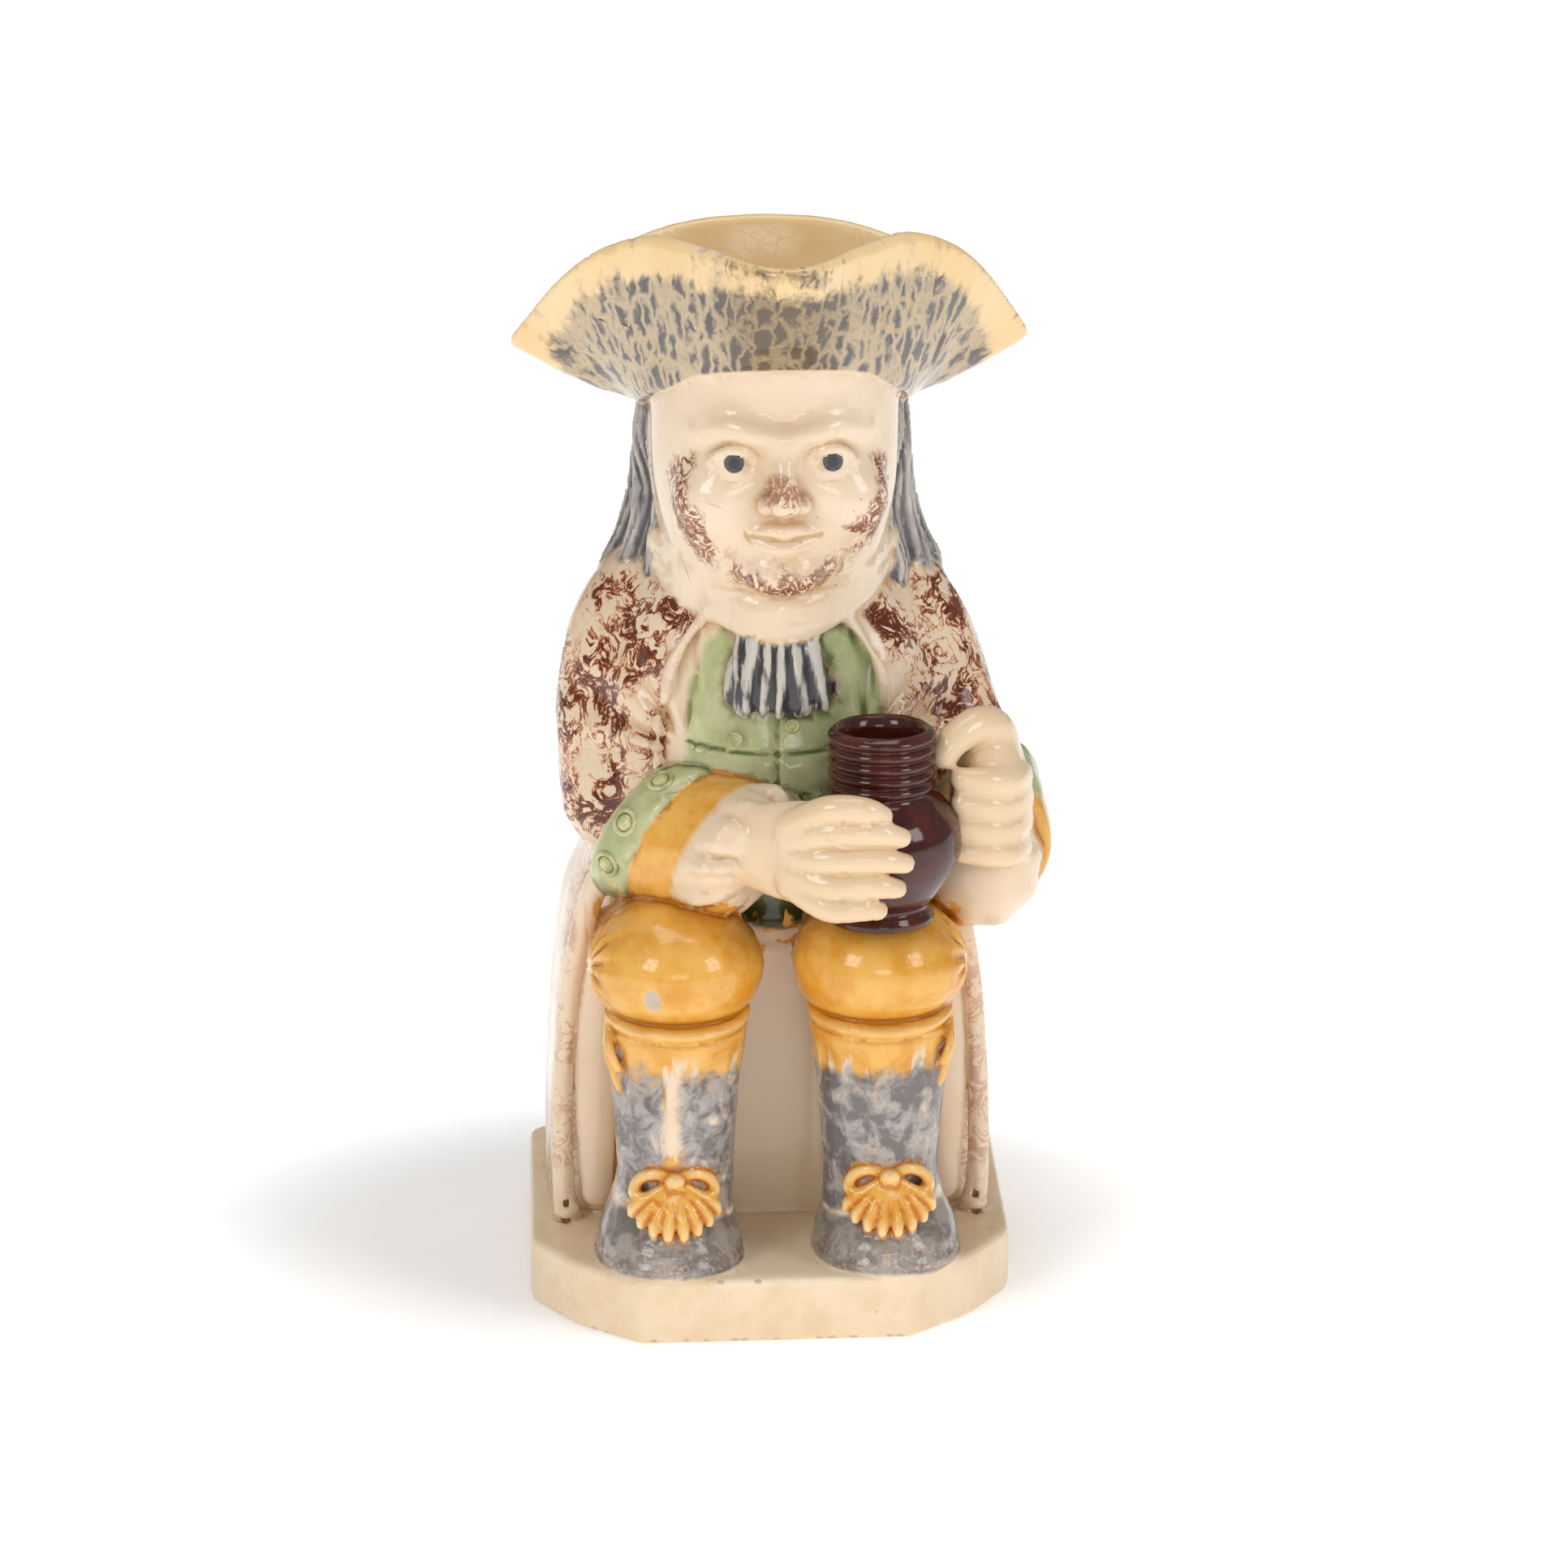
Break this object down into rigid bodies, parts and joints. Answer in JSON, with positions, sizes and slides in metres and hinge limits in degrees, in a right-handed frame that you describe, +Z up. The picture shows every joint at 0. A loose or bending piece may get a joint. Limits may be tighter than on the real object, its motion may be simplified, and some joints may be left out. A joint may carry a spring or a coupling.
{
  "type": "toby jug",
  "caption": "Glazed earthenware jug shaped as a seated drinker in a cocked hat that pours at its front corner, holding a small ale jug on one knee, with a loop handle at the back.",
  "frame": {"origin": "middle of the plinth's flat underside", "axes": "+Z up, the figure faces -Y, its left hand is at +X and the handle is at +Y"},
  "size_m": [0.1245, 0.1391, 0.248],
  "materials": {
    "glaze": "glossy lead glaze over buff earthenware, sponged and brushed with coloured oxides"
  },
  "bodies": {
    "root": {"toby_jug": "glaze"}
  },
  "joints": []
}
